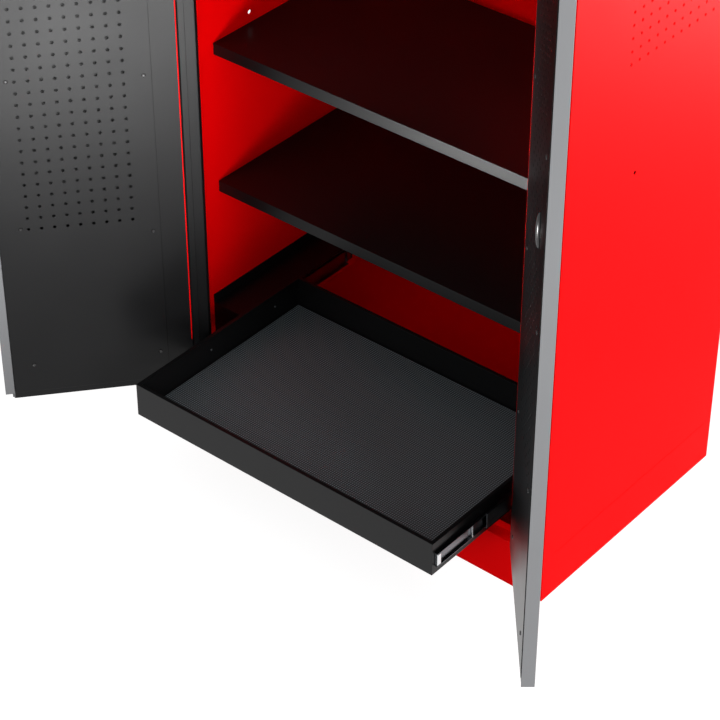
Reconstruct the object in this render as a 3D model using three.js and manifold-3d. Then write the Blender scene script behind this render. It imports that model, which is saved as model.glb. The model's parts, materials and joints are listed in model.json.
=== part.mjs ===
// Tall steel garage cabinet: a red folded-sheet carcass with two black pegboard doors, black
// shelves and a pull-out tray on ball-bearing slides. Millimetres, +Z up.
// Origin: floor level, in the middle of the carcass footprint. The doors face -Y.
// The doors are drawn shut about their hinge pins, and their groups are turned to stand open.

import * as THREE from 'three';
import { mergeVertices } from 'three/addons/utils/BufferGeometryUtils.js';
import Module from 'manifold-3d';

const wasm = await Module();
wasm.setup();

// Carcass
const bodyWidth = 914;
const bodyDepth = 578;
const bodyHeight = 1981;
const sheet = 1.5;
const seat = 0.3;
const floorLevel = 107;
const jambWidth = 44;
const jambReturn = 18;
const backFlange = 20;
const baseFlange = 40;
const headerHeight = 27;
const stopLip = 14;
const thresholdHeight = 18;
const thresholdFoot = 22;
const topRim = 22;
const sideHole = 9;
const sideHoleFront = 212;
const sideHoleHeight = 874.3;

// Doors
const doorAngle = 130;
const doorThickness = 22;
const doorBottom = 141;
const doorHeadGap = 3;
const doorMeetingGap = 5;
const doorEdgeGap = 2.4;
const doorSheet = 1.2;
const hemWidth = 32;
const freeHem = 14;
const endHem = 14;
const hingeMargin = 19.5;
const ledgeWidth = 12.1;
const liningRise = 3;
const liningMargin = 2;
const edgeMargin = 1;
const lapMargin = 5.5;
const windowBorder = 30;
const pegboardInset = 86;
const pegboardSheet = 1.2;
const pegboardMargin = 14;
const pegboardEdge = 6;
const pegPitch = 25.4;
const pegHole = 5.6;
const pegInset = 139.9;
const pegBottom = 551.5;
const pegMargin = 50;
const pegRows = 27;
const trimWidth = 20;
const trimWall = 1.6;
const trimRadius = 7;
const trimStepWidth = 3;
const trimStepDepth = 4;
const lapReach = 14;
const lapClear = 5;
const lapEndMargin = 16;

// Continuous hinge
const pinInset = 3.8;
const pinForward = 1.4;
const pinRadius = 1.5;
const knuckleBore = 1.9;
const knuckleRadius = 3;
const knuckleCount = 9;
const knucklePlay = 1;
const hingeLeaf = 1.2;
const leafSet = 0.25;
const jambLeafReach = 20;
const doorLeafReach = 7;
const hingeNotch = 9;
const notchPlay = 1.2;

// Latch of the right door
const latchHeight = 1048;
const latchInset = 97.1;
const spindleRadius = 4;
const roseWidth = 46;
const roseHeight = 150;
const roseDepth = 2.5;
const cupWidth = 34;
const cupHeight = 80;
const cupDepth = 3;
const leverLength = 112;
const leverWidth = 20;
const leverThickness = 5;
const hubRadius = 12;
const lockRadius = 9;
const lockDepth = 7;
const lockStand = 3;
const lockRise = 52;
const keySlotWidth = 1.6;
const keySlotDepth = 2;
const camSetback = 5;
const camRadius = 17;
const camThickness = 2;
const camLug = 6;
const rodRadius = 4;
const rodPlay = 1;
const rodEye = 2;
const guideWidth = 34;
const guideThickness = 1.6;
const guideLength = 22;
const guideInset = 60;
const strikeWidth = 44;
const strikeFoot = 12;
const strikeDepth = 16;
const strikeHeight = 24;

// Shelves
const shelfThickness = 25;
const shelfFront = 104;
const shelfBack = 22;
const shelfSideGap = 1.5;
const shelfHeights = { lower: 536, upper: 852, top: 1330 };
const shelfHem = 16;
const ledgeLeg = 22;
const ledgeFront = 40;

// Pull-out tray
const trayInset = 83;
const trayDepth = 488;
const trayHeight = 75;
const trayBottom = 186;
const trayOut = 240;
const trayStored = 52;
const trayLip = 8;
const matThickness = 3;
const matInset = 5;

// Slides, each of three nested channels, and the ledges that carry them
const slideLength = 356;
const slideHeight = 38;
const slideWidth = 10;
const slideSheet = 1.2;
const slideLevel = 220;
const slideStep = 1.8;
const slideSetback = 8;
const carrierFront = 76;
const carrierBack = 500;
const carrierLevel = 249.6;
const carrierFlange = 20.2;
const carrierLip = 6;
const carrierClear = 2.3;
const carrierTail = 24;
const noseDrop = 88;
const stopTabLength = 14;
const stopTabHeight = 34;

// Facets
const pinSides = 12;
const roundSides = 20;
const cornerSteps = 5;
const overrun = 5;

const halfWidth = bodyWidth / 2;
const halfDepth = bodyDepth / 2;
const front = -halfDepth;
const openingHalf = halfWidth - jambWidth;
const innerWall = halfWidth - sheet - seat;
const trayWidth = bodyWidth - trayInset * 2;
const doorHeight = bodyHeight - headerHeight - doorHeadGap - doorBottom;
const degree = Math.PI / 180;

const red = new THREE.MeshStandardMaterial({ color: 0xe8090c, roughness: 0.35, metalness: 0 });
const black = new THREE.MeshStandardMaterial({ color: 0x17181a, roughness: 0.3, metalness: 0 });
const grey = new THREE.MeshStandardMaterial({ color: 0x808285, roughness: 0.4, metalness: 0.6 });
const steel = new THREE.MeshStandardMaterial({ color: 0xb9bcc0, roughness: 0.25, metalness: 1 });
const rubber = new THREE.MeshStandardMaterial({ color: 0x26272a, roughness: 0.9, metalness: 0 });

// Outline of a bent sheet: the path, and the same path moved one thickness to its left
function bentSheet(path, thickness) {
  const points = path.map(([x, y]) => new THREE.Vector2(x, y));
  const side = (a, b) => {
    const along = b.clone().sub(a).normalize();
    return new THREE.Vector2(-along.y, along.x);
  };
  const moved = points.map((point, i) => {
    const before = i > 0 ? side(points[i - 1], point) : side(point, points[i + 1]);
    const after = i < points.length - 1 ? side(point, points[i + 1]) : before;
    const mitre = before.clone().add(after);
    return point.clone().addScaledVector(mitre, thickness / (1 + before.dot(after)));
  });
  return [...points, ...moved.reverse()];
}

function arc(cx, cy, radius, from, to, steps) {
  const points = [];
  for (let i = 0; i <= steps; i++) {
    const angle = (from + (to - from) * (i / steps)) * degree;
    points.push([cx + radius * Math.cos(angle), cy + radius * Math.sin(angle)]);
  }
  return points;
}

// A strip with round ends, long along its second axis
function slotOutline(cx, cy, width, height) {
  const radius = width / 2;
  const reach = height / 2 - radius;
  return [
    ...arc(cx, cy + reach, radius, 0, 180, cornerSteps * 2),
    ...arc(cx, cy - reach, radius, 180, 360, cornerSteps * 2),
  ];
}

// Prism of an outline: axis 'z' reads the outline as x, y; 'x' as y, z; 'y' as x, z
function prism(outline, axis, from, to, holes = []) {
  const toVector = (p) => (p.isVector2 ? p : new THREE.Vector2(p[0], p[1]));
  const shape = new THREE.Shape(outline.map(toVector));
  for (const hole of holes) shape.holes.push(new THREE.Path(hole.map(toVector)));
  const geometry = new THREE.ExtrudeGeometry(shape, { depth: to - from, bevelEnabled: false, steps: 1 });
  const place = new THREE.Matrix4();
  const X = new THREE.Vector3(1, 0, 0);
  const Y = new THREE.Vector3(0, 1, 0);
  const Z = new THREE.Vector3(0, 0, 1);
  if (axis === 'x') place.makeBasis(Y, Z, X).setPosition(from, 0, 0);
  if (axis === 'y') place.makeBasis(X, Z, Y.clone().negate()).setPosition(0, to, 0);
  if (axis === 'z') place.setPosition(0, 0, from);
  return geometry.applyMatrix4(place);
}

function block(x0, x1, y0, y1, z0, z1) {
  const geometry = new THREE.BoxGeometry(x1 - x0, y1 - y0, z1 - z0);
  return geometry.translate((x0 + x1) / 2, (y0 + y1) / 2, (z0 + z1) / 2);
}

// Cylinder along an axis; a and b are its place on the other two axes, in x, y, z order
function cylinder(axis, radius, from, to, a, b, sides) {
  const geometry = new THREE.CylinderGeometry(radius, radius, to - from, sides);
  if (axis === 'x') geometry.rotateZ(-90 * degree).translate((from + to) / 2, a, b);
  if (axis === 'y') geometry.translate(a, (from + to) / 2, b);
  if (axis === 'z') geometry.rotateX(90 * degree).translate(a, b, (from + to) / 2);
  return geometry;
}

function toSolid(geometry) {
  const bare = geometry.clone();
  bare.deleteAttribute('normal');
  bare.deleteAttribute('uv');
  const merged = mergeVertices(bare);
  return new wasm.Manifold(new wasm.Mesh({
    numProp: 3,
    vertProperties: Float32Array.from(merged.attributes.position.array),
    triVerts: Uint32Array.from(merged.index.array),
  }));
}

function toGeometry(solid) {
  const mesh = solid.getMesh();
  const geometry = new THREE.BufferGeometry();
  geometry.setAttribute('position', new THREE.BufferAttribute(mesh.vertProperties, 3));
  geometry.setIndex(new THREE.BufferAttribute(mesh.triVerts, 1));
  geometry.computeVertexNormals();
  return geometry;
}

function join(...geometries) {
  return toGeometry(geometries.map(toSolid).reduce((whole, piece) => whole.add(piece)));
}

function cut(geometry, ...tools) {
  return toGeometry(tools.map(toSolid).reduce((whole, tool) => whole.subtract(tool), toSolid(geometry)));
}

// The same piece for the other side of the cabinet
function mirrored(geometry) {
  const copy = geometry.clone().applyMatrix4(new THREE.Matrix4().makeScale(-1, 1, 1));
  if (!copy.index) copy.setIndex([...Array(copy.attributes.position.count).keys()]);
  const index = copy.index.array;
  for (let i = 0; i < index.length; i += 3) [index[i], index[i + 1]] = [index[i + 1], index[i]];
  copy.computeVertexNormals();
  return copy;
}

function sided(geometry, side) {
  return side > 0 ? geometry : mirrored(geometry);
}

const sides = [['right', 1], ['left', -1]];
const cabinet = new THREE.Group();

function addPiece(group, name, geometry, material) {
  const mesh = new THREE.Mesh(geometry, material);
  mesh.name = name;
  group.add(mesh);
  return mesh;
}

// Places on a door, in its own coordinates about the hinge pin
const pinX = openingHalf - doorEdgeGap - pinInset;
const pinY = front - pinForward;
const hingeEdge = pinInset;
const freeEdge = doorMeetingGap / 2 - pinX;
const notchX = hingeEdge - hingeNotch - notchPlay;
const outerFace = pinForward;
const innerFace = outerFace + doorThickness;
const ledgeFace = innerFace + seat + doorSheet;
const raisedFace = innerFace + liningRise;
const pegFace = raisedFace + seat + pegboardSheet;
const doorTop = doorBottom + doorHeight;
const latchX = freeEdge + latchInset;
const camFace = outerFace + doorSheet + camSetback;
const rodY = camFace + camThickness + seat + rodEye + rodRadius;
const rodOffset = camRadius * Math.cos(45 * degree);

// Carcass shell
function sidePanel() {
  const shell = prism(bentSheet([
    [openingHalf, front + jambReturn],
    [openingHalf, front],
    [halfWidth, front],
    [halfWidth, halfDepth],
    [halfWidth - backFlange, halfDepth],
  ], sheet), 'z', 0, bodyHeight - sheet - seat);
  const hole = cylinder('x', sideHole / 2, halfWidth - sheet - overrun, halfWidth + overrun,
    front + sideHoleFront, sideHoleHeight, pinSides);
  return cut(shell, hole);
}

function headerRail() {
  const stop = front + doorThickness + sheet * 2 + seat;
  const foot = bodyHeight - headerHeight;
  const notch = openingHalf - seat;
  const rail = prism(bentSheet([
    [stop, foot - stopLip], [stop, foot], [front, foot], [front, bodyHeight - sheet - seat],
  ], -sheet), 'x', -notch, notch);
  const rodHole = cylinder('z', rodRadius + rodPlay, foot - overrun, foot + sheet + overrun,
    pinX + latchX - rodOffset, pinY + rodY, pinSides);
  return cut(rail, rodHole);
}

function addCarcass() {
  const panel = sidePanel();
  for (const [word, side] of sides) addPiece(cabinet, `side_panel_${word}`, sided(panel, side), red);

  const rear = halfDepth - sheet - seat;
  const under = bodyHeight - sheet - seat;
  addPiece(cabinet, 'back_panel',
    block(-innerWall, innerWall, rear - sheet, rear, floorLevel + seat, under), red);

  const rimY = rear - sheet - seat;
  addPiece(cabinet, 'top_panel', join(
    block(-halfWidth, halfWidth, front, halfDepth, bodyHeight - sheet, bodyHeight),
    block(-innerWall, innerWall, rimY - sheet, rimY, bodyHeight - topRim, bodyHeight - sheet / 2),
  ), red);

  const notch = openingHalf - seat;
  const behindJamb = front + jambReturn + seat;
  addPiece(cabinet, 'floor_panel', prism([
    [-notch, front], [notch, front], [notch, behindJamb], [innerWall, behindJamb],
    [innerWall, rear], [-innerWall, rear], [-innerWall, behindJamb], [-notch, behindJamb],
  ], 'z', floorLevel - sheet, floorLevel), red);

  const railTop = floorLevel - sheet - seat;
  const railSection = (start, facing) => bentSheet([
    [start + facing * baseFlange, railTop], [start, railTop], [start, 0], [start + facing * baseFlange, 0],
  ], facing * sheet);
  addPiece(cabinet, 'plinth_front', prism(railSection(front, 1), 'x', -notch, notch), red);
  addPiece(cabinet, 'plinth_rear', prism(railSection(rear, -1), 'x', -innerWall, innerWall), red);
  addPiece(cabinet, 'base_cross_rail',
    prism(railSection(-baseFlange / 2, 1), 'x', -innerWall, innerWall), red);

  addPiece(cabinet, 'header_rail', headerRail(), red);

  const stop = front + doorThickness + sheet + seat;
  addPiece(cabinet, 'threshold_rail', prism(bentSheet([
    [stop, floorLevel + thresholdHeight], [stop, floorLevel + seat], [stop + thresholdFoot, floorLevel + seat],
  ], sheet), 'x', -notch, notch), red);
}

// Shelves are shallow pans with turned-under hems, each on two angle ledges
function addShelves() {
  const half = halfWidth - sheet - shelfSideGap;
  const y0 = front + shelfFront;
  const y1 = halfDepth - shelfBack;
  for (const [word, level] of Object.entries(shelfHeights)) {
    const low = level - shelfThickness;
    const pan = block(-half, half, y0, y1, low, level);
    const hollow = block(-half + sheet, half - sheet, y0 + sheet, y1 - sheet, low + sheet, level - sheet);
    const mouth = block(-half + shelfHem, half - shelfHem, y0 + shelfHem, y1 - shelfHem,
      low - overrun, low + sheet * 2);
    addPiece(cabinet, `shelf_${word}`, cut(pan, hollow, mouth), black);
    const ledge = prism(bentSheet([
      [innerWall, low - seat - ledgeLeg], [innerWall, low - seat], [innerWall - ledgeLeg, low - seat],
    ], sheet), 'y', y0 + ledgeFront, y1 - ledgeFront);
    for (const [sideWord, side] of sides) {
      addPiece(cabinet, `shelf_ledge_${word}_${sideWord}`, sided(ledge, side), red);
    }
  }
}

// Slide channels lie one inside another: the cabinet's outside, the tray's inside
const slideInner = trayWidth / 2 + seat;
const slideOuter = slideInner + slideWidth;
const carrierWeb = slideOuter + seat;
const slideCabinetFront = front + trayStored + slideSetback;
const slideRear = slideCabinetFront + slideLength;

function channel(webX, lipX, height, from) {
  const low = slideLevel - height / 2;
  const high = slideLevel + height / 2;
  const inward = webX > lipX ? -1 : 1;
  return prism(bentSheet([[lipX, high], [webX, high], [webX, low], [lipX, low]], inward * slideSheet),
    'y', from, from + slideLength);
}

// Folded ledge on the side wall, with a web for the slide and a closed nose
function slideCarrier() {
  const edge = trayWidth / 2 + carrierClear;
  const y0 = front + carrierFront;
  const low = slideLevel - slideHeight / 2;
  const ledge = prism(bentSheet([
    [edge, carrierLevel - carrierLip], [edge, carrierLevel],
    [innerWall - sheet, carrierLevel], [innerWall - sheet, carrierLevel + carrierFlange],
  ], -sheet), 'y', y0, front + carrierBack);
  const web = block(carrierWeb, carrierWeb + sheet, y0, slideRear + carrierTail, low, carrierLevel - sheet / 2);
  const nose = block(carrierWeb, innerWall, y0, y0 + sheet, carrierLevel - noseDrop, carrierLevel - sheet / 2);
  return join(ledge, web, nose);
}

// Bright angle behind the cabinet member, which stops the tray
function stopTab() {
  const y0 = slideRear + seat;
  const low = slideLevel - stopTabHeight / 2;
  return prism(bentSheet([
    [slideOuter - slideWidth / 2, y0], [slideOuter, y0], [slideOuter, y0 + stopTabLength],
  ], sheet), 'z', low, low + stopTabHeight);
}

function addTray() {
  const group = new THREE.Group();
  group.position.set(0, front - trayOut, trayBottom);
  cabinet.add(group);
  const half = trayWidth / 2;
  const pan = block(-half, half, 0, trayDepth, 0, trayHeight);
  const hollow = block(-half + sheet, half - sheet, sheet, trayDepth - sheet, sheet, trayHeight - sheet);
  const mouth = block(-half + trayLip, half - trayLip, trayLip, trayDepth - trayLip,
    trayHeight - sheet * 2, trayHeight + overrun);
  addPiece(group, 'tray_pan', cut(pan, hollow, mouth), black);
  addPiece(group, 'tray_mat', block(-half + matInset, half - matInset, matInset, trayDepth - matInset,
    sheet + seat, sheet + seat + matThickness), rubber);
}

function addSlides() {
  const middleWeb = slideOuter - slideSheet - (slideStep - slideSheet) / 2;
  const trayFront = front - trayOut + slideSetback;
  const middleFront = (trayFront + slideCabinetFront) / 2;
  const outer = channel(slideOuter, slideInner + slideSheet, slideHeight, slideCabinetFront);
  const middle = channel(middleWeb, slideInner + slideSheet * 2, slideHeight - slideStep * 2, middleFront);
  const inner = channel(slideInner, middleWeb - slideSheet * 2, slideHeight - slideStep * 4, trayFront);
  const carrier = slideCarrier();
  const tab = stopTab();
  for (const [word, side] of sides) {
    addPiece(cabinet, `slide_carrier_${word}`, sided(carrier, side), black);
    addPiece(cabinet, `slide_cabinet_member_${word}`, sided(outer, side), steel);
    addPiece(cabinet, `slide_middle_member_${word}`, sided(middle, side), steel);
    addPiece(cabinet, `slide_tray_member_${word}`, sided(inner, side), steel);
    addPiece(cabinet, `slide_stop_tab_${word}`, sided(tab, side), steel);
  }
}

const doorGroups = {};
for (const [word, side] of sides) {
  const group = new THREE.Group();
  group.position.set(side * pinX, pinY, 0);
  group.rotation.z = side * doorAngle * degree;
  cabinet.add(group);
  doorGroups[word] = group;
}

function doorPan() {
  const free = freeEdge + trimWidth + seat;
  const notchY = outerFace + hingeNotch;
  const outline = [
    [free, innerFace], [free, outerFace], [notchX, outerFace],
    [notchX, notchY], [hingeEdge, notchY], [hingeEdge, innerFace],
  ];
  const skin = prism(bentSheet([
    [free + freeHem, innerFace], ...outline, [hingeEdge - hemWidth, innerFace],
  ], doorSheet), 'z', doorBottom, doorTop);
  const foot = prism(outline, 'z', doorBottom, doorBottom + doorSheet);
  const head = prism(outline, 'z', doorTop - doorSheet, doorTop);
  const hems = [[doorBottom, doorBottom + endHem], [doorTop - endHem, doorTop]].map(([z0, z1]) =>
    block(free, hingeEdge, innerFace - doorSheet, innerFace, z0, z1));
  return join(skin, foot, head, ...hems);
}

// Folded sheet that closes the back of a door, with a window behind the pegboard
function doorLining(margin) {
  const start = hingeEdge - hingeMargin;
  const step = start - ledgeWidth;
  const end = freeEdge + margin;
  const z0 = doorBottom + liningMargin;
  const z1 = doorTop - liningMargin;
  const folded = prism(bentSheet([
    [end, innerFace + seat], [end, raisedFace], [step - liningRise, raisedFace],
    [step, ledgeFace], [start, ledgeFace],
  ], -doorSheet), 'z', z0, z1);
  const window = block(freeEdge + pegboardEdge + windowBorder, hingeEdge - pegboardInset - windowBorder,
    outerFace, pegFace + overrun, z0 + windowBorder, z1 - windowBorder);
  return cut(folded, window);
}

// Round peg holes, drawn square to keep the facets few
function pegboard() {
  const half = pegHole / 2;
  const last = freeEdge + pegboardEdge + pegMargin;
  const holes = [];
  for (let row = 0; row < pegRows; row++) {
    const z = pegBottom + row * pegPitch;
    for (let x = hingeEdge - pegInset; x > last; x -= pegPitch) {
      holes.push(block(x - half, x + half, innerFace, pegFace + overrun, z - half, z + half));
    }
  }
  const board = block(freeEdge + pegboardEdge, hingeEdge - pegboardInset, pegFace - pegboardSheet, pegFace,
    doorBottom + liningMargin + pegboardMargin, doorTop - liningMargin - pegboardMargin);
  return cut(board, ...holes);
}

// Hollow edge trim with a rounded front corner and a shallow step; one door's also has the lap
function edgeTrim(lapped) {
  const x0 = freeEdge;
  const x1 = freeEdge + trimWidth;
  const stepX = x0 + trimStepWidth;
  const corner = arc(x0 + trimRadius, outerFace + trimRadius, trimRadius, 270, 180, cornerSteps);
  const bore = [
    [stepX + trimWall, outerFace + trimWall], [x1 - trimWall, outerFace + trimWall],
    [x1 - trimWall, innerFace - trimWall], [stepX + trimWall, innerFace - trimWall],
  ];
  const tube = prism([
    [x1, innerFace], [x1, outerFace], ...corner, [x0, innerFace - trimStepDepth],
    [stepX, innerFace - trimStepDepth], [stepX, innerFace],
  ], 'z', doorBottom, doorTop, [bore]);
  if (!lapped) return tube;
  const z0 = doorBottom + lapEndMargin;
  const z1 = doorTop - lapEndMargin;
  const lapFace = innerFace + lapClear;
  const lap = block(x0 - lapReach, stepX + trimWall, lapFace, lapFace + trimWall, z0, z1);
  const web = block(stepX, stepX + trimWall, innerFace - trimWall, lapFace + trimWall / 2, z0, z1);
  return join(tube, lap, web);
}

// Continuous hinge: knuckles alternate between the jamb leaf and the door leaf
function knuckles(parity, make) {
  const pitch = doorHeight / knuckleCount;
  const list = [];
  for (let i = parity; i < knuckleCount; i += 2) {
    list.push(make(doorBottom + i * pitch + knucklePlay / 2, doorBottom + (i + 1) * pitch - knucklePlay / 2));
  }
  return list;
}

function jambLeaf() {
  const leafX = pinInset + doorEdgeGap - seat;
  const leafFront = leafSet - knuckleRadius;
  const section = bentSheet([
    [0, leafFront], [leafX, leafFront], [leafX, knuckleRadius + hingeLeaf * 2],
  ], hingeLeaf);
  const pieces = knuckles(0, (z0, z1) => join(
    cylinder('z', knuckleRadius, z0, z1, 0, 0, pinSides),
    prism(section, 'z', z0, z1),
  ));
  const strip = block(leafX - hingeLeaf, leafX, knuckleRadius + hingeLeaf, jambLeafReach, doorBottom, doorTop);
  const pin = cylinder('z', pinRadius, doorBottom + knucklePlay, doorTop - knucklePlay, 0, 0, pinSides);
  return join(strip, pin, ...pieces);
}

function doorLeaf() {
  const leafX = notchX + seat;
  const leafBack = knuckleRadius - leafSet - hingeLeaf;
  const section = bentSheet([
    [leafX, knuckleRadius + hingeLeaf * 2], [leafX, leafBack], [0, leafBack],
  ], hingeLeaf);
  const pieces = knuckles(1, (z0, z1) => cut(
    join(cylinder('z', knuckleRadius, z0, z1, 0, 0, pinSides), prism(section, 'z', z0, z1)),
    cylinder('z', knuckleBore, z0 - overrun, z1 + overrun, 0, 0, pinSides),
  ));
  const strip = block(leafX, leafX + hingeLeaf, knuckleRadius + hingeLeaf, outerFace + doorLeafReach,
    doorBottom, doorTop);
  return join(strip, ...pieces);
}

function addDoors() {
  const pan = doorPan();
  const board = pegboard();
  const fixedLeaf = jambLeaf();
  const swingLeaf = doorLeaf();
  for (const [word, side] of sides) {
    const group = doorGroups[word];
    const latched = word === 'right';
    const lining = doorLining(latched ? edgeMargin : lapMargin);
    addPiece(group, `door_pan_${word}`, sided(latched ? cut(pan, ...latchHoles()) : pan, side), black);
    addPiece(group, `door_lining_${word}`, sided(lining, side), black);
    addPiece(group, `door_pegboard_${word}`, sided(latched ? cut(board, spindleHole()) : board, side), black);
    addPiece(group, `door_edge_trim_${word}`, sided(edgeTrim(!latched), side), grey);
    addPiece(group, `hinge_door_leaf_${word}`, sided(swingLeaf, side), black);
    const jamb = addPiece(cabinet, `hinge_jamb_leaf_${word}`, sided(fixedLeaf, side), black);
    jamb.position.set(side * pinX, pinY, 0);
  }
}

// Two-point latch inside the right door: handle, lock, cam and two rods
function spindleHole() {
  return cylinder('y', spindleRadius + seat, outerFace - overrun, pegFace + overrun,
    latchX, latchHeight, pinSides);
}

function lockHole() {
  return cylinder('y', lockRadius + seat, outerFace - seat - roseDepth - overrun,
    outerFace + doorSheet + seat, latchX, latchHeight + lockRise, roundSides);
}

function latchHoles() {
  const rodHole = (side, z) => cylinder('z', rodRadius + rodPlay, z - overrun, z + overrun,
    latchX + side * rodOffset, rodY, pinSides);
  return [spindleHole(), lockHole(), rodHole(-1, doorTop), rodHole(1, doorBottom)];
}

function rose() {
  const y1 = outerFace - seat;
  const middle = latchHeight + lockRise / 2;
  const plate = prism(slotOutline(latchX, middle, roseWidth, roseHeight), 'y', y1 - roseDepth, y1);
  return cut(plate, lockHole(), cylinder('y', spindleRadius + seat, y1 - roseDepth - overrun, y1 + overrun,
    latchX, latchHeight, pinSides));
}

function backCup() {
  const y0 = pegFace + seat;
  const plate = prism(slotOutline(latchX, latchHeight, cupWidth, cupHeight), 'y', y0, pegFace + cupDepth);
  return cut(plate, spindleHole().translate(0, cupDepth, 0));
}

function handle() {
  const y1 = outerFace - seat * 2 - roseDepth;
  const hanging = slotOutline(0, hubRadius - leverLength / 2, leverWidth, leverLength);
  const lying = hanging.map(([x, z]) => [latchX - z, latchHeight + x]);
  const bar = prism(lying, 'y', y1 - leverThickness, y1);
  const spindle = cylinder('y', spindleRadius, y1 - leverThickness / 2, pegFace + cupDepth,
    latchX, latchHeight, pinSides);
  return join(bar, spindle);
}

function latchCam() {
  const near = arc(camRadius, 0, camLug, -90, 90, cornerSteps);
  const far = arc(-camRadius, 0, camLug, 90, 270, cornerSteps);
  const outline = [...near, [0, hubRadius], ...far, [0, -hubRadius]];
  const plate = prism(outline, 'y', camFace, camFace + camThickness);
  plate.rotateY(-45 * degree).translate(latchX, 0, latchHeight);
  return cut(plate, cylinder('y', spindleRadius + seat, camFace - overrun, camFace + overrun,
    latchX, latchHeight, pinSides));
}

function lockCylinder() {
  const y0 = outerFace - seat - roseDepth - lockStand;
  const z = latchHeight + lockRise;
  const plug = cylinder('y', lockRadius, y0, outerFace + lockDepth, latchX, z, roundSides);
  return cut(plug, block(latchX - keySlotWidth / 2, latchX + keySlotWidth / 2, y0 - overrun, y0 + keySlotDepth,
    z - lockRadius / 2, z + lockRadius / 2));
}

// A rod and its flat eye, which lies on the cam; direction is 1 for the upper rod
function latchRod(direction, end) {
  const x = latchX - direction * rodOffset;
  const eyeZ = latchHeight - direction * rodOffset;
  const barStart = eyeZ + direction * camLug;
  const bar = cylinder('z', rodRadius, Math.min(barStart, end), Math.max(barStart, end), x, rodY, pinSides);
  const eyeStart = eyeZ - direction * camLug;
  const eyeEnd = barStart + direction * camLug;
  const eye = block(x - rodRadius, x + rodRadius, rodY - rodRadius - rodEye, rodY,
    Math.min(eyeStart, eyeEnd), Math.max(eyeStart, eyeEnd));
  return join(bar, eye);
}

function rodGuide(direction, level) {
  const x = latchX - direction * rodOffset;
  const foot = outerFace + doorSheet + seat + guideThickness;
  const reach = rodRadius + seat * 2 + guideThickness;
  return prism(bentSheet([
    [x - guideWidth / 2, foot], [x - reach, foot], [x - reach, rodY + reach],
    [x + reach, rodY + reach], [x + reach, foot], [x + guideWidth / 2, foot],
  ], -guideThickness), 'z', level - guideLength / 2, level + guideLength / 2);
}

// Bridge on the cabinet floor with the hole that the lower rod drops into
function floorStrike() {
  const x = pinX + latchX + rodOffset;
  const y = pinY + rodY;
  const foot = floorLevel + seat + sheet;
  const high = floorLevel + strikeHeight;
  const left = x - strikeWidth / 2;
  const right = x + strikeWidth / 2;
  const bridge = prism(bentSheet([
    [left - strikeFoot, foot], [left, foot], [left, high], [right, high], [right, foot],
    [right + strikeFoot, foot],
  ], -sheet), 'y', y - strikeDepth / 2, y + strikeDepth / 2);
  return cut(bridge, cylinder('z', rodRadius + rodPlay, high - overrun, high + overrun, x, y, pinSides));
}

function addLatch() {
  const group = doorGroups.right;
  addPiece(group, 'handle_rose', rose(), black);
  addPiece(group, 'handle_back_cup', backCup(), steel);
  addPiece(group, 'handle_lever', handle(), black);
  addPiece(group, 'latch_cam', latchCam(), steel);
  addPiece(group, 'lock_cylinder', lockCylinder(), steel);
  addPiece(group, 'latch_rod_upper', latchRod(1, doorTop), steel);
  addPiece(group, 'latch_rod_lower', latchRod(-1, doorBottom), steel);
  addPiece(group, 'rod_guide_upper', rodGuide(1, doorTop - guideInset), black);
  addPiece(group, 'rod_guide_lower', rodGuide(-1, doorBottom + guideInset), black);
  addPiece(cabinet, 'floor_strike', floorStrike(), steel);
}

addCarcass();
addShelves();
addTray();
addSlides();
addDoors();
addLatch();

export default cabinet;
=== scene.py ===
"""Finishes, perforated sheets, fasteners and studio for a steel garage cabinet with pegboard doors.

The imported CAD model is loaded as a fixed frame. Everything here is in metres, in the frame's own
coordinates: the doors face -Y, Z is up, and the origin is on the floor under the carcass.
"""

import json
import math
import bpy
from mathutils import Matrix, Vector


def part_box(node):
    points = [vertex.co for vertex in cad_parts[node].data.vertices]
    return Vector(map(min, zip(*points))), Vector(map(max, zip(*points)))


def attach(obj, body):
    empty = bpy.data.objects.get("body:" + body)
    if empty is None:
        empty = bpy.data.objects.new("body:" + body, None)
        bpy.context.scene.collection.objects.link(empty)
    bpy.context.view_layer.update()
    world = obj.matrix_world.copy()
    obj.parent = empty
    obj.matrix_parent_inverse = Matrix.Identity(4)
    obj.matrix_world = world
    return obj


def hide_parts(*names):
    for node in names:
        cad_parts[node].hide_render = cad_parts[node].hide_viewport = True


bl_info = {
    "name": "Garage Cabinet Finishes",
    "version": (1, 0, 0),
    "blender": (4, 5, 0),
    "location": "View3D > Sidebar > Cabinet",
    "description": "Powder coat, pegboards, vents, mat and studio for a garage floor cabinet",
    "category": "Object",
}

import bmesh
import bpy
from bpy.props import FloatProperty, FloatVectorProperty, IntProperty, PointerProperty
from mathutils import Matrix, Vector

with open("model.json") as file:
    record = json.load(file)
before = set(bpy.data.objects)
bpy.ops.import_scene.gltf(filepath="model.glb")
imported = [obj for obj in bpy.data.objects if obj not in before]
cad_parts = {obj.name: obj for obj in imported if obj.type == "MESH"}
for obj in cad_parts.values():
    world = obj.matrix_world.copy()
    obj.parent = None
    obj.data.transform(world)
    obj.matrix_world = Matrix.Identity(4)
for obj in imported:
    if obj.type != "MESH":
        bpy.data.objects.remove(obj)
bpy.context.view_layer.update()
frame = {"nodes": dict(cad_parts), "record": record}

MM = 0.001
SIDES = {"right": 1, "left": -1}
JOINTS = {joint["name"]: joint for joint in frame["record"]["behaviour"]["joints"]}
SLOT_OF = {entry["node"]: entry["material_slot"] for entry in frame["record"]["subparts"]}

# What is on a door is placed in the coordinates of a shut right-hand door: they start at the hinge
# pin, the free edge lies at negative X, and Y points into the cabinet.

# The faint seam low on each side panel, over the base rail.
SEAM_HEIGHTS = (99.2 * MM, 100.8 * MM)
SEAM_PROUD = 0.3 * MM
SEAM_FRONT_GAP = 32 * MM
SEAM_REAR_GAP = 24 * MM
SEAM_ROUND = 0.12 * MM

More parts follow.
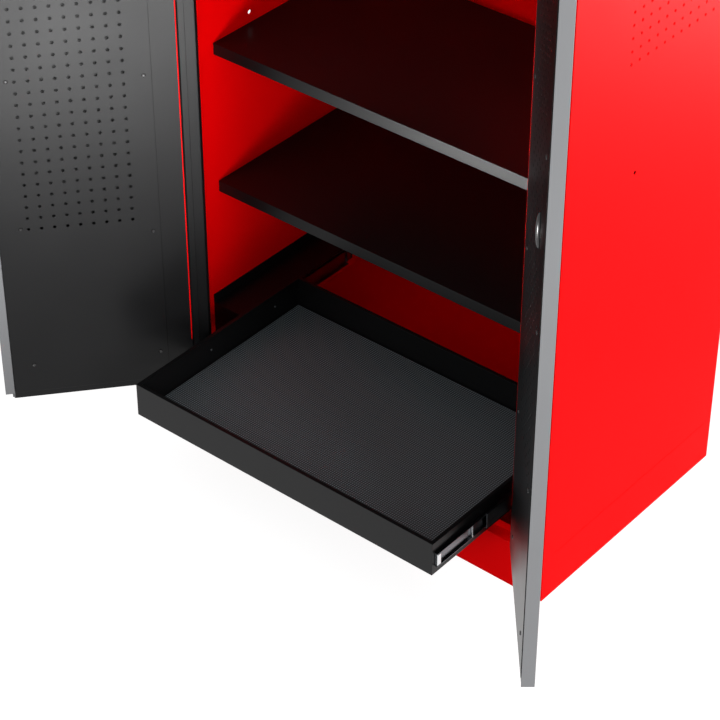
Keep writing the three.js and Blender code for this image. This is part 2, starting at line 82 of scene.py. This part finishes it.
# A red strip on a door's lining, a painted reflection of the red interior in the lining's fold: its
# span across the door, and how far it stands off the lining.
REFLECTION_SPAN = (-33.4 * MM, -31.2 * MM)
REFLECTION_PROUD = (0.05 * MM, 0.2 * MM)
REFLECTION_FOOT_GAP = 102 * MM
REFLECTION_HEAD_GAP = 3 * MM
REFLECTION_ROUND = 0.04 * MM

# The plate that closes the right door's edge, outside its trim.
CAP_GAP = 0.3 * MM
CAP_SHEET = 1 * MM
CAP_SETBACK = 1 * MM
CAP_OVERLAP = 3.6 * MM
CAP_ROUND = 0.4 * MM

# The oval plate behind the handle: width, depth and height.
PLATE_SIZE = Vector((24 * MM, 8.5 * MM, 70 * MM))
PLATE_WALL = 1 * MM

CUTTER_LENGTH = 10 * MM

# The pegboard's screws: their distance from the hinge pin, and their heights in mm.
SCREW_LINES = {
    354.8 * MM: (224, 553, 883, 1213, 1543, 1873),
    97.8 * MM: (224, 520, 871, 1204, 1543, 1873),
}
SCREW_RADII = (4.2 * MM, 3.6 * MM)
SCREW_HEAD = 1.4 * MM
SOCKET_RIM = 1.3 * MM
SOCKET_DEPTH = 0.9 * MM

# The bright pieces in a tray slide's channel: where each starts and ends behind the member's nose,
# and the radius of its folds.
CLIPS = {"nose": (0.4 * MM, 11 * MM, 0.8 * MM), "clip": (105 * MM, 107 * MM, 0.4 * MM)}
CLIP_HEIGHT = 26 * MM
MEMBER_WEB = 1.6 * MM

# The screws in the tray's wall, by their distance behind the slide's nose.
TRAY_SCREWS = (208.4 * MM, 405 * MM)
TRAY_SCREW_RADII = (2.8 * MM, 2 * MM)
TRAY_SCREW_HEAD = 1 * MM
TRAY_SCREW_RISE = 3 * MM
TRAY_SHEET = 1.8 * MM

# The studio, in metres and radians: the camera stands at the photograph's viewing angle.
CAMERA_PLACE = (2.3760, -3.1402, 3.1617)
CAMERA_TILT = math.radians(52.98)
CAMERA_TURN = math.radians(39.775)
CAMERA_LENS_MM = 120.11
CAMERA_SENSOR_MM = 36
FLOOR_REACH = 8

# Each lamp: where it stands, what it points at, its width and height in metres, its power in watts
# and its beam in degrees.
LAMPS = {
    "soft_right": ((4.6, -1.1, 1.8), (0.4, 0, 0.9), 2.6, 2.2, 215, 180),
    "door_strip": ((0.72, -1.5, 0.25), (-0.62, -0.5, 0.85), 0.8, 0.45, 2.3, 46),
    "shelf_strip": ((-0.4, -1.75, 0.25), (0.25, -0.25, 1.08), 0.6, 0.4, 3.4, 26),
    "side_strip": ((1.75, 2.0, 0.3), (0.457, -0.1, 1.2), 1.2, 0.6, 6.5, 60),
}


def linear(code):
    """A colour written as an sRGB hex value, as the linear colour that shaders take."""
    channels = [int(code[i : i + 2], 16) / 255 for i in (1, 3, 5)]
    return tuple(c / 12.92 if c <= 0.04045 else ((c + 0.055) / 1.055) ** 2.4 for c in channels)


def add_node(tree, kind, values=None, links=None, **settings):
    """A shader node with its settings, the values of its sockets and the sockets linked to it."""
    node = tree.nodes.new(kind)
    for name, setting in settings.items():
        setattr(node, name, setting)
    for socket, value in (values or {}).items():
        node.inputs[socket].default_value = value
    for socket, source in (links or {}).items():
        tree.links.new(source, node.inputs[socket])
    return node


def new_material(name):
    """An empty material with a Principled shader on its output."""
    material = bpy.data.materials.new(name)
    material.use_nodes = True
    tree = material.node_tree
    tree.nodes.clear()
    shader = add_node(tree, "ShaderNodeBsdfPrincipled")
    add_node(tree, "ShaderNodeOutputMaterial", links={"Surface": shader.outputs["BSDF"]})
    return material, tree, shader


def powder_coat(name, colour, roughness, shine, spread, edge):
    """Polyester powder baked on steel: an even skin whose faint orange peel softens reflections.

    The peel is 4 mm from crest to crest, and the tone drifts over 160 mm, as on any large sheet.
    """
    material, tree, shader = new_material(name)
    place = add_node(tree, "ShaderNodeTexCoord").outputs["Object"]
    peel = add_node(
        tree, "ShaderNodeTexNoise", {"Scale": 1 / (4 * MM), "Detail": 2.0}, {"Vector": place}
    )
    cloud = add_node(
        tree, "ShaderNodeTexNoise", {"Scale": 1 / (160 * MM), "Detail": 3.0}, {"Vector": place}
    )
    tone = add_node(tree, "ShaderNodeValToRGB", links={"Fac": cloud.outputs["Fac"]})
    dark = tuple(c * (1 - spread) for c in colour)
    tone.color_ramp.elements[0].position = 0.3
    tone.color_ramp.elements[0].color = (*dark, 1)
    tone.color_ramp.elements[1].position = 0.7
    tone.color_ramp.elements[1].color = (*colour, 1)
    gloss = add_node(
        tree,
        "ShaderNodeMapRange",
        {"To Min": roughness - 0.04, "To Max": roughness + 0.04},
        {"Value": cloud.outputs["Fac"]},
    )
    rim = add_node(tree, "ShaderNodeBevel", {"Radius": edge}, samples=4)
    bump = add_node(
        tree,
        "ShaderNodeBump",
        {"Strength": 0.15, "Distance": 0.03 * MM},
        {"Height": peel.outputs["Fac"], "Normal": rim.outputs["Normal"]},
    )
    tree.links.new(tone.outputs["Color"], shader.inputs["Base Color"])
    tree.links.new(gloss.outputs["Result"], shader.inputs["Roughness"])
    tree.links.new(bump.outputs["Normal"], shader.inputs["Normal"])
    shader.inputs["IOR"].default_value = 1.5
    shader.inputs["Specular IOR Level"].default_value = shine
    return material


def brushed_metal(name, colour, roughness, grain, edge):
    """Rolled or drawn metal: lines along one axis, 1.5 mm apart, stretch its highlights.

    The real lines are a tenth of that apart, which is finer than a pixel, so they are drawn wider.
    """
    material, tree, shader = new_material(name)
    place = add_node(tree, "ShaderNodeTexCoord").outputs["Object"]
    lines = add_node(tree, "ShaderNodeMapping", {"Scale": grain}, {"Vector": place})
    noise = add_node(
        tree,
        "ShaderNodeTexNoise",
        {"Scale": 1 / (1.5 * MM), "Detail": 4.0},
        {"Vector": lines.outputs["Vector"]},
    )
    gloss = add_node(
        tree,
        "ShaderNodeMapRange",
        {"To Min": roughness - 0.05, "To Max": roughness + 0.08},
        {"Value": noise.outputs["Fac"]},
    )
    rim = add_node(tree, "ShaderNodeBevel", {"Radius": edge}, samples=4)
    bump = add_node(
        tree,
        "ShaderNodeBump",
        {"Strength": 0.2, "Distance": 0.02 * MM},
        {"Height": noise.outputs["Fac"], "Normal": rim.outputs["Normal"]},
    )
    tree.links.new(gloss.outputs["Result"], shader.inputs["Roughness"])
    tree.links.new(bump.outputs["Normal"], shader.inputs["Normal"])
    shader.inputs["Base Color"].default_value = (*colour, 1)
    shader.inputs["Metallic"].default_value = 1.0
    return material


def knurled_rubber(name, colour, pitch):
    """Moulded nitrile rubber: crossed ridges, bumped, with painted highlights on their tops and
    painted shade in the valleys.

    The real ridges are about 2 mm apart, which is finer than a pixel, so they are drawn wider. The
    crests are painted lighter than the colour and the valleys darker, as painted highlight and
    shade, so that it holds from a distance.
    """
    material, tree, shader = new_material(name)
    place = add_node(tree, "ShaderNodeTexCoord").outputs["Object"]
    axes = add_node(tree, "ShaderNodeSeparateXYZ", links={"Vector": place})
    heights = []
    for axis in ("X", "Y"):
        turn = add_node(
            tree,
            "ShaderNodeMath",
            {1: 2 * math.pi / pitch},
            {0: axes.outputs[axis]},
            operation="MULTIPLY",
        )
        wave = add_node(tree, "ShaderNodeMath", links={0: turn.outputs[0]}, operation="SINE")
        height = add_node(
            tree, "ShaderNodeMath", {1: 0.5, 2: 0.5}, {0: wave.outputs[0]},
            operation="MULTIPLY_ADD",
        )
        heights.append(height)
    knob = add_node(
        tree,
        "ShaderNodeMath",
        links={0: heights[0].outputs[0], 1: heights[1].outputs[0]},
        operation="MULTIPLY",
    )
    # The ramp follows the bump's heights: painted highlights on the crests, painted shade in the
    # valleys.
    tone = add_node(tree, "ShaderNodeValToRGB", links={"Fac": knob.outputs[0]})
    tone.color_ramp.elements[0].color = (*(c * 0.15 for c in colour), 1)
    tone.color_ramp.elements[1].position = 0.7
    tone.color_ramp.elements[1].color = (*(c * 2.6 for c in colour), 1)
    bump = add_node(
        tree,
        "ShaderNodeBump",
        {"Strength": 0.7, "Distance": 0.6 * MM},
        {"Height": knob.outputs[0]},
    )
    tree.links.new(tone.outputs["Color"], shader.inputs["Base Color"])
    tree.links.new(bump.outputs["Normal"], shader.inputs["Normal"])
    shader.inputs["Roughness"].default_value = 0.6
    return material


def finishes():
    """One material for each slot of the record, made once and found by name after that."""
    looks = bpy.context.scene.cabinet_looks
    edge = looks.fold_radius
    if "gloss red powder coat" not in bpy.data.materials:
        # Even, full red with one broad, faint highlight.
        powder_coat(
            "gloss red powder coat", looks.body_colour, roughness=0.4, shine=0.02, spread=0.03,
            edge=edge,
        )
        # Dull black that turns to a soft grey sheen at a low angle.
        powder_coat(
            "satin black powder coat", looks.door_colour, roughness=0.33, shine=0.18, spread=0.12,
            edge=edge,
        )
        # Deep black with small, sharp highlights on its round edges.
        powder_coat(
            "die-cast handle enamel", looks.door_colour, roughness=0.2, shine=0.5, spread=0.1,
            edge=edge / 2,
        )
        # Flat mid grey that stays even along the whole edge of a door.
        powder_coat(
            "grey edge trim enamel", looks.trim_colour, roughness=0.35, shine=0.3, spread=0.04,
            edge=edge / 2,
        )
        # Cool grey metal, streaked along the slide by rolling.
        brushed_metal(
            "zinc-plated steel", linear("#77797D"), roughness=0.28, grain=(1, 0.02, 1),
            edge=edge / 4,
        )
        # Near mirror, with its highlights drawn out upwards.
        brushed_metal(
            "chromed brass", linear("#DDDFE1"), roughness=0.1, grain=(1, 1, 0.2), edge=edge / 4
        )
        # Matt dark grey broken up by fine painted highlights on the crests, with painted shade in
        # the valleys.
        knurled_rubber("knurled nitrile rubber", looks.mat_colour, looks.mat_pitch)
    return {
        "body_red": bpy.data.materials["gloss red powder coat"],
        "black_sheet": bpy.data.materials["satin black powder coat"],
        "handle_black": bpy.data.materials["die-cast handle enamel"],
        "edge_grey": bpy.data.materials["grey edge trim enamel"],
        "zinc_steel": bpy.data.materials["zinc-plated steel"],
        "chrome": bpy.data.materials["chromed brass"],
        "mat_rubber": bpy.data.materials["knurled nitrile rubber"],
    }


def dress(*nodes):
    """Gives carried-over CAD nodes the finish of their slot."""
    looks = finishes()
    for name in nodes:
        for place in frame["nodes"][name].material_slots:
            place.material = looks[SLOT_OF[name]]


def piece_from(bm, name, body, slot):
    """A finished bmesh as a piece at the origin that moves with a CAD body."""
    bmesh.ops.recalc_face_normals(bm, faces=bm.faces)
    mesh = bpy.data.meshes.new(name)
    bm.to_mesh(mesh)
    bm.free()
    piece = bpy.data.objects.new(name, mesh)
    bpy.context.collection.objects.link(piece)
    mesh.materials.append(finishes()[slot])
    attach(piece, body)
    return piece


def merged_copy(node):
    """The CAD node's shape as a bmesh with its loose triangles joined."""
    bm = bmesh.new()
    bm.from_mesh(frame["nodes"][node].data)
    bmesh.ops.remove_doubles(bm, verts=bm.verts, dist=0.001 * MM)
    bmesh.ops.dissolve_limit(bm, angle_limit=math.radians(0.5), verts=bm.verts, edges=bm.edges)
    return bm


def cutters(places, turn, radius, length, sides):
    """Round cutters of one size, standing at the places and turned one way."""
    bm = bmesh.new()
    for place in places:
        bmesh.ops.create_cone(
            bm,
            cap_ends=True,
            segments=sides,
            radius1=radius,
            radius2=radius,
            depth=length,
            matrix=Matrix.Translation(place) @ turn,
        )
    return bm


def drill(piece, bm):
    """Takes the cutters' shape out of a piece for good."""
    mesh = bpy.data.meshes.new("cutters")
    bm.to_mesh(mesh)
    bm.free()
    tool = bpy.data.objects.new("cutters", mesh)
    bpy.context.collection.objects.link(tool)
    holes = piece.modifiers.new("Holes", "BOOLEAN")
    holes.operation = "DIFFERENCE"
    holes.solver = "EXACT"
    holes.object = tool
    finished = piece.evaluated_get(bpy.context.evaluated_depsgraph_get())
    shape = bpy.data.meshes.new_from_object(finished)
    piece.modifiers.clear()
    plain = piece.data
    piece.data = shape
    bpy.data.meshes.remove(plain)
    bpy.data.objects.remove(tool)
    bpy.data.meshes.remove(mesh)
    shape.name = piece.name


def door_place(side):
    """Turns shut-door coordinates about the hinge pin into the frame's, mirrored for the left."""
    word = "right" if side > 0 else "left"
    angle = bpy.context.scene.cabinet_looks.door_angle
    pin = Vector(JOINTS[f"{word}_door_hinge"]["pos_m"])
    return (
        Matrix.Translation((pin.x, pin.y, 0))
        @ Matrix.Rotation(side * angle, 4, "Z")
        @ Matrix.Diagonal((side, 1, 1, 1))
    )


def local_box(node, place):
    """(lowest, highest) corner of a CAD node in the coordinates that a matrix starts from."""
    back = place.inverted()
    points = [back @ vertex.co for vertex in frame["nodes"][node].data.vertices]
    return (
        Vector(min(p[i] for p in points) for i in range(3)),
        Vector(max(p[i] for p in points) for i in range(3)),
    )


def folded_tab(spans, bevel):
    """A small folded steel tab as one bevelled bmesh, from its spans along X, Y and Z."""
    bm = bmesh.new()
    bmesh.ops.create_cube(bm, size=1)
    size = Vector(high - low for low, high in spans)
    middle = Vector((high + low) / 2 for low, high in spans)
    bmesh.ops.scale(bm, vec=size, verts=bm.verts)
    bmesh.ops.translate(bm, vec=middle, verts=bm.verts)
    bmesh.ops.bevel(
        bm, geom=bm.edges[:], offset=bevel, segments=2, profile=0.5, affect="EDGES", material=-1
    )
    return bm


def slide_clips(word, side):
    """Bright clips in the tray member's channel: one at its nose and one behind it."""
    low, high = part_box(f"slide_tray_member_{word}")
    across = (low.x + MEMBER_WEB, high.x) if side > 0 else (low.x, high.x - MEMBER_WEB)
    centre = (low.z + high.z) / 2
    height = (centre - CLIP_HEIGHT / 2, centre + CLIP_HEIGHT / 2)
    for kind, (start, end, radius) in CLIPS.items():
        tab = folded_tab((across, (low.y + start, low.y + end), height), radius)
        piece_from(tab, f"slide_{kind}_{word}", "tray", "chrome")


def tray_screws(word, side):
    """Low screw heads on the tray's inner wall, where the slide is fastened."""
    low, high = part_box("tray_pan")
    wall = (high.x if side > 0 else low.x) - side * TRAY_SHEET
    slide_low, slide_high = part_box(f"slide_tray_member_{word}")
    level = (slide_low.z + slide_high.z) / 2 + TRAY_SCREW_RISE
    bm = bmesh.new()
    for behind in TRAY_SCREWS:
        place = Vector((wall, slide_low.y + behind, level))
        bmesh.ops.create_cone(
            bm, cap_ends=True, segments=14,
            radius1=TRAY_SCREW_RADII[0], radius2=TRAY_SCREW_RADII[1], depth=TRAY_SCREW_HEAD,
            matrix=Matrix.Translation(place) @ Matrix.Rotation(-side * math.pi / 2, 4, "Y"),
        )
    bmesh.ops.translate(bm, vec=(-side * TRAY_SCREW_HEAD / 2, 0, 0), verts=bm.verts)
    piece_from(bm, f"tray_screws_{word}", "tray", "zinc_steel")


def background_rays(tree):
    """1 for the rays that show the background: to the camera, by metal or through glass."""
    rays = add_node(tree, "ShaderNodeLightPath").outputs
    seen = rays["Is Camera Ray"]
    for kind in ("Is Glossy Ray", "Is Transmission Ray"):
        seen = add_node(
            tree, "ShaderNodeMath", links={0: seen, 1: rays[kind]}, operation="MAXIMUM"
        ).outputs[0]
    return seen


class CabinetLooks(bpy.types.PropertyGroup):
    """Colours and sizes of the finishes and the small detail."""

    body_colour: FloatVectorProperty(
        name="Body colour", description="Powder coat of the carcass", subtype="COLOR",
        default=linear("#FF0206"), min=0, max=1,
    )
    door_colour: FloatVectorProperty(
        name="Door colour", description="Powder coat of doors, shelves and tray", subtype="COLOR",
        default=linear("#121213"), min=0, max=1,
    )
    trim_colour: FloatVectorProperty(
        name="Trim colour", description="Enamel of the door edge trims", subtype="COLOR",
        default=linear("#7F8082"), min=0, max=1,
    )
    mat_colour: FloatVectorProperty(
        name="Mat colour", description="Rubber of the tray mat", subtype="COLOR",
        default=linear("#565E62"), min=0, max=1,
    )
    mat_pitch: FloatProperty(
        name="Mat pitch", description="Distance between the mat's ridges", unit="LENGTH",
        default=5 * MM, min=1 * MM,
    )
    fold_radius: FloatProperty(
        name="Fold radius", description="Rounding of the sheet's folds, as shading", unit="LENGTH",
        default=1.4 * MM, min=0,
    )
    door_angle: FloatProperty(
        name="Door angle", description="How far the doors stand open in the frame", unit="ROTATION",
        default=math.radians(130),
    )


class PerforationSizes(bpy.types.PropertyGroup):
    """Sizes of the peg holes and vent holes."""

    pitch: FloatProperty(
        name="Pitch", description="Distance between holes", unit="LENGTH", default=25.4 * MM
    )
    radius: FloatProperty(
        name="Radius", description="Radius of a hole", unit="LENGTH", default=3.2 * MM
    )
    sides: IntProperty(name="Sides", description="Facets round a hole", default=12, min=6)
    peg_columns: IntProperty(name="Peg columns", description="Holes across a door", default=9)
    peg_rows: IntProperty(name="Peg rows", description="Holes up a door", default=40)
    peg_start: FloatProperty(
        name="Peg start", description="First column, from the hinge pin", unit="LENGTH",
        default=136.1 * MM,
    )
    peg_bottom: FloatProperty(
        name="Peg bottom", description="Height of the lowest peg row", unit="LENGTH",
        default=551.5 * MM,
    )
    vent_columns: IntProperty(
        name="Vent columns", description="Vent holes across a side", default=11
    )
    vent_rows: IntProperty(name="Vent rows", description="Vent holes up a side", default=8)
    vent_start: FloatProperty(
        name="Vent start", description="First vent column, from the front", unit="LENGTH",
        default=172.7 * MM,
    )
    vent_bottom: FloatProperty(
        name="Vent bottom", description="Height of the lowest vent row", unit="LENGTH",
        default=1109.4 * MM,
    )


class CABINET_OT_carcass(bpy.types.Operator):
    """Finish the carcass and drill the vent holes in its sides"""

    bl_idname = "cabinet.carcass"
    bl_label = "Carcass"

    def execute(self, context):
        sizes = context.scene.perforation_sizes
        dress(
            "back_panel", "top_panel", "floor_panel", "plinth_front", "plinth_rear",
            "base_cross_rail", "header_rail", "threshold_rail",
        )
        for level in ("lower", "upper", "top"):
            dress(*(f"shelf_ledge_{level}_{word}" for word in SIDES))
        turn = Matrix.Rotation(math.pi / 2, 4, "Y")
        for word, side in SIDES.items():
            node = f"side_panel_{word}"
            low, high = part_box(node)
            face = high.x if side > 0 else low.x
            places = [
                Vector((face, low.y + sizes.vent_start + column * sizes.pitch,
                        sizes.vent_bottom + row * sizes.pitch))
                for column in range(sizes.vent_columns)
                for row in range(sizes.vent_rows)
            ]
            panel = piece_from(merged_copy(node), f"perforated_side_{word}", "cabinet", "body_red")
            drill(panel, cutters(places, turn, sizes.radius, CUTTER_LENGTH, sizes.sides))
            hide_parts(node)
            seam = folded_tab(
                (sorted((face, face + side * SEAM_PROUD)),
                 (low.y + SEAM_FRONT_GAP, high.y - SEAM_REAR_GAP), SEAM_HEIGHTS),
                SEAM_ROUND,
            )
            piece_from(seam, f"base_seam_{word}", "cabinet", "body_red")
        return {"FINISHED"}


class CABINET_OT_shelves(bpy.types.Operator):
    """Finish the three shelves"""

    bl_idname = "cabinet.shelves"
    bl_label = "Shelves"

    def execute(self, context):
        dress("shelf_lower", "shelf_upper", "shelf_top")
        return {"FINISHED"}


class CABINET_OT_doors(bpy.types.Operator):
    """Finish the doors and give each its perforated pegboard"""

    bl_idname = "cabinet.doors"
    bl_label = "Doors"

    def execute(self, context):
        sizes = context.scene.perforation_sizes
        turn = Matrix.Rotation(math.pi / 2, 4, "X")
        for word, side in SIDES.items():
            node = f"door_pegboard_{word}"
            place = door_place(side)
            low, high = local_box(node, place)
            dress(
                f"door_pan_{word}", f"door_lining_{word}", f"door_edge_trim_{word}",
                f"hinge_door_leaf_{word}", f"hinge_jamb_leaf_{word}",
            )
            bm = bmesh.new()
            bmesh.ops.create_cube(bm, size=1)
            bmesh.ops.scale(bm, vec=high - low, verts=bm.verts)
            bmesh.ops.translate(bm, vec=(high + low) / 2, verts=bm.verts)
            board = piece_from(bm, f"perforated_pegboard_{word}", f"{word}_door", "black_sheet")
            spots = [
                Vector((-sizes.peg_start - column * sizes.pitch, high.y,
                        sizes.peg_bottom + row * sizes.pitch))
                for column in range(sizes.peg_columns)
                for row in range(sizes.peg_rows)
            ]
            if word == "right":
                cup_low, cup_high = local_box("handle_back_cup", place)
                spots = [
                    spot for spot in spots
                    if not (cup_low.x - sizes.radius < spot.x < cup_high.x + sizes.radius
                            and cup_low.z - sizes.radius < spot.z < cup_high.z + sizes.radius)
                ]
            drill(board, cutters(spots, turn, sizes.radius, CUTTER_LENGTH, sizes.sides))
            board.data.transform(place)
            if side < 0:
                board.data.flip_normals()
            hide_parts(node)
            back_low, back_high = local_box(f"door_lining_{word}", place)
            # Painted reflection: a red strip where the lining's fold mirrors the red interior.
            red_reflection = folded_tab(
                (REFLECTION_SPAN, tuple(back_high.y + proud for proud in REFLECTION_PROUD),
                 (back_low.z + REFLECTION_FOOT_GAP, back_high.z - REFLECTION_HEAD_GAP)),
                REFLECTION_ROUND,
            )
            bmesh.ops.transform(red_reflection, matrix=place, verts=red_reflection.verts)
            piece_from(red_reflection, f"door_red_reflection_strip_{word}", f"{word}_door", "body_red")
        place = door_place(SIDES["right"])
        trim_low, trim_high = local_box("door_edge_trim_right", place)
        cap = folded_tab(
            ((trim_low.x - CAP_GAP - CAP_SHEET, trim_low.x - CAP_GAP),
             (trim_low.y + CAP_SETBACK, trim_high.y + CAP_OVERLAP), (trim_low.z, trim_high.z)),
            CAP_ROUND,
        )
        bmesh.ops.transform(cap, matrix=place, verts=cap.verts)
        piece_from(cap, "door_edge_cap_right", "right_door", "edge_grey")
        return {"FINISHED"}


class CABINET_OT_fasteners(bpy.types.Operator):
    """Add the small pan-head screws that hold the pegboards"""

    bl_idname = "cabinet.fasteners"
    bl_label = "Fasteners"

    def execute(self, context):
        for word, side in SIDES.items():
            place = door_place(side)
            high = local_box(f"door_pegboard_{word}", place)[1]
            bm = bmesh.new()
            for along, levels in SCREW_LINES.items():
                for level in levels:
                    head = Matrix.Translation((-along, high.y, level * MM))
                    made = bmesh.ops.create_cone(
                        bm, cap_ends=True, segments=16,
                        radius1=SCREW_RADII[0], radius2=SCREW_RADII[1], depth=SCREW_HEAD,
                        matrix=head @ Matrix.Rotation(-math.pi / 2, 4, "X"),
                    )
                    bmesh.ops.translate(bm, verts=made["verts"], vec=(0, SCREW_HEAD / 2, 0))
                    top = max(
                        {face for vertex in made["verts"] for face in vertex.link_faces},
                        key=lambda face: face.calc_center_median().y,
                    )
                    bmesh.ops.inset_region(
                        bm, faces=[top], thickness=SOCKET_RIM, depth=-SOCKET_DEPTH
                    )
            bmesh.ops.transform(bm, matrix=place, verts=bm.verts)
            piece_from(bm, f"pegboard_screws_{word}", f"{word}_door", "handle_black")
        return {"FINISHED"}


class CABINET_OT_latch(bpy.types.Operator):
    """Finish the lever, its plates, the lock, cam, rods, guides and floor strike"""

    bl_idname = "cabinet.latch"
    bl_label = "Latch"

    def execute(self, context):
        dress(
            "handle_rose", "handle_lever", "latch_cam", "lock_cylinder", "latch_rod_upper",
            "latch_rod_lower", "rod_guide_upper", "rod_guide_lower", "floor_strike",
        )
        place = door_place(SIDES["right"])
        low, high = local_box("handle_back_cup", place)
        bm = bmesh.new()
        bmesh.ops.create_uvsphere(bm, u_segments=40, v_segments=20, radius=1)
        bmesh.ops.rotate(bm, matrix=Matrix.Rotation(-math.pi / 2, 3, "X"), verts=bm.verts)
        front_half = [vertex for vertex in bm.verts if vertex.co.y < -0.01]
        bmesh.ops.delete(bm, geom=front_half, context="VERTS")
        bmesh.ops.solidify(bm, geom=bm.faces[:], thickness=PLATE_WALL / PLATE_SIZE.y)
        bmesh.ops.scale(
            bm, vec=(PLATE_SIZE.x / 2, PLATE_SIZE.y, PLATE_SIZE.z / 2), verts=bm.verts
        )
        middle = (high + low) / 2
        bmesh.ops.translate(bm, vec=(middle.x, low.y, middle.z), verts=bm.verts)
        bmesh.ops.transform(bm, matrix=place, verts=bm.verts)
        plate = piece_from(bm, "handle_back_plate", "right_door", "handle_black")
        for face in plate.data.polygons:
            face.use_smooth = True
        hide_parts("handle_back_cup")
        return {"FINISHED"}


class CABINET_OT_tray(bpy.types.Operator):
    """Finish the tray, its mat and its slides"""

    bl_idname = "cabinet.tray"
    bl_label = "Tray"

    def execute(self, context):
        dress("tray_pan", "tray_mat")
        for word, side in SIDES.items():
            slide_clips(word, side)
            tray_screws(word, side)
            dress(
                f"slide_carrier_{word}", f"slide_cabinet_member_{word}",
                f"slide_middle_member_{word}", f"slide_tray_member_{word}",
                f"slide_stop_tab_{word}",
            )
        return {"FINISHED"}


class CABINET_OT_stage(bpy.types.Operator):
    """Add the white floor, the soft lamps and the camera"""

    bl_idname = "cabinet.stage"
    bl_label = "Stage"

    def execute(self, context):
        scene = context.scene
        scene.view_settings.view_transform = "Standard"
        camera = bpy.data.objects.new("camera", bpy.data.cameras.new("camera"))
        camera.location = CAMERA_PLACE
        camera.rotation_euler = (CAMERA_TILT, 0, CAMERA_TURN)
        camera.data.lens = CAMERA_LENS_MM
        camera.data.sensor_width = CAMERA_SENSOR_MM
        context.collection.objects.link(camera)
        scene.camera = camera

        bm = bmesh.new()
        bmesh.ops.create_grid(bm, x_segments=1, y_segments=1, size=FLOOR_REACH)
        mesh = bpy.data.meshes.new("floor")
        bm.to_mesh(mesh)
        bm.free()
        floor = bpy.data.objects.new("floor", mesh)
        context.collection.objects.link(floor)
        # Matt paint: white to the camera and in metal, but mid grey in the light that it bounces.
        paint, tree, shader = new_material("white studio paint")
        shader.inputs["Base Color"].default_value = (0.25, 0.25, 0.25, 1)
        shader.inputs["Roughness"].default_value = 0.9
        shader.inputs["Specular IOR Level"].default_value = 0.0
        tree.links.new(background_rays(tree), shader.inputs["Emission Strength"])
        shader.inputs["Emission Color"].default_value = (0.9, 0.9, 0.9, 1)
        mesh.materials.append(paint)

        world = bpy.data.worlds.new("studio")
        world.use_nodes = True
        tree = world.node_tree
        tree.nodes.clear()
        level = add_node(
            tree,
            "ShaderNodeMapRange",
            {"To Min": 0.7, "To Max": 1.0},
            {"Value": background_rays(tree)},
        )
        glow = add_node(
            tree,
            "ShaderNodeBackground",
            {"Color": (1, 1, 1, 1)},
            {"Strength": level.outputs["Result"]},
        )
        add_node(tree, "ShaderNodeOutputWorld", links={"Surface": glow.outputs["Background"]})
        scene.world = world

        for name, (spot, target, width, height, power, beam) in LAMPS.items():
            lamp = bpy.data.objects.new(name, bpy.data.lights.new(name, "AREA"))
            lamp.data.shape = "RECTANGLE"
            lamp.data.size = width
            lamp.data.size_y = height
            lamp.data.energy = power
            lamp.data.spread = math.radians(beam)
            lamp.location = spot
            aim = Vector(target) - Vector(spot)
            lamp.rotation_euler = aim.to_track_quat("-Z", "Y").to_euler()
            lamp.visible_camera = False
            context.collection.objects.link(lamp)
        return {"FINISHED"}


class CABINET_PT_panel(bpy.types.Panel):
    """Operators of the cabinet, in the order in which they run"""

    bl_idname = "CABINET_PT_panel"
    bl_label = "Garage cabinet"
    bl_space_type = "VIEW_3D"
    bl_region_type = "UI"
    bl_category = "Cabinet"

    def draw(self, context):
        for operator in OPERATORS:
            self.layout.operator(operator.bl_idname)
        for group in (context.scene.cabinet_looks, context.scene.perforation_sizes):
            box = self.layout.box()
            for name in group.bl_rna.properties.keys():
                if name not in ("rna_type", "name"):
                    box.prop(group, name)


OPERATORS = (
    CABINET_OT_stage,
    CABINET_OT_carcass,
    CABINET_OT_shelves,
    CABINET_OT_doors,
    CABINET_OT_fasteners,
    CABINET_OT_latch,
    CABINET_OT_tray,
)
CLASSES = (CabinetLooks, PerforationSizes, *OPERATORS, CABINET_PT_panel)


def register():
    for cls in CLASSES:
        bpy.utils.register_class(cls)
    bpy.types.Scene.cabinet_looks = PointerProperty(type=CabinetLooks)
    bpy.types.Scene.perforation_sizes = PointerProperty(type=PerforationSizes)


def unregister():
    del bpy.types.Scene.perforation_sizes
    del bpy.types.Scene.cabinet_looks
    for cls in reversed(CLASSES):
        bpy.utils.unregister_class(cls)


def main():
    register()
    bpy.ops.cabinet.stage()
    bpy.ops.cabinet.carcass()
    bpy.ops.cabinet.shelves()
    bpy.ops.cabinet.doors()
    bpy.ops.cabinet.fasteners()
    bpy.ops.cabinet.latch()
    bpy.ops.cabinet.tray()


if __name__ == "__main__":
    main()
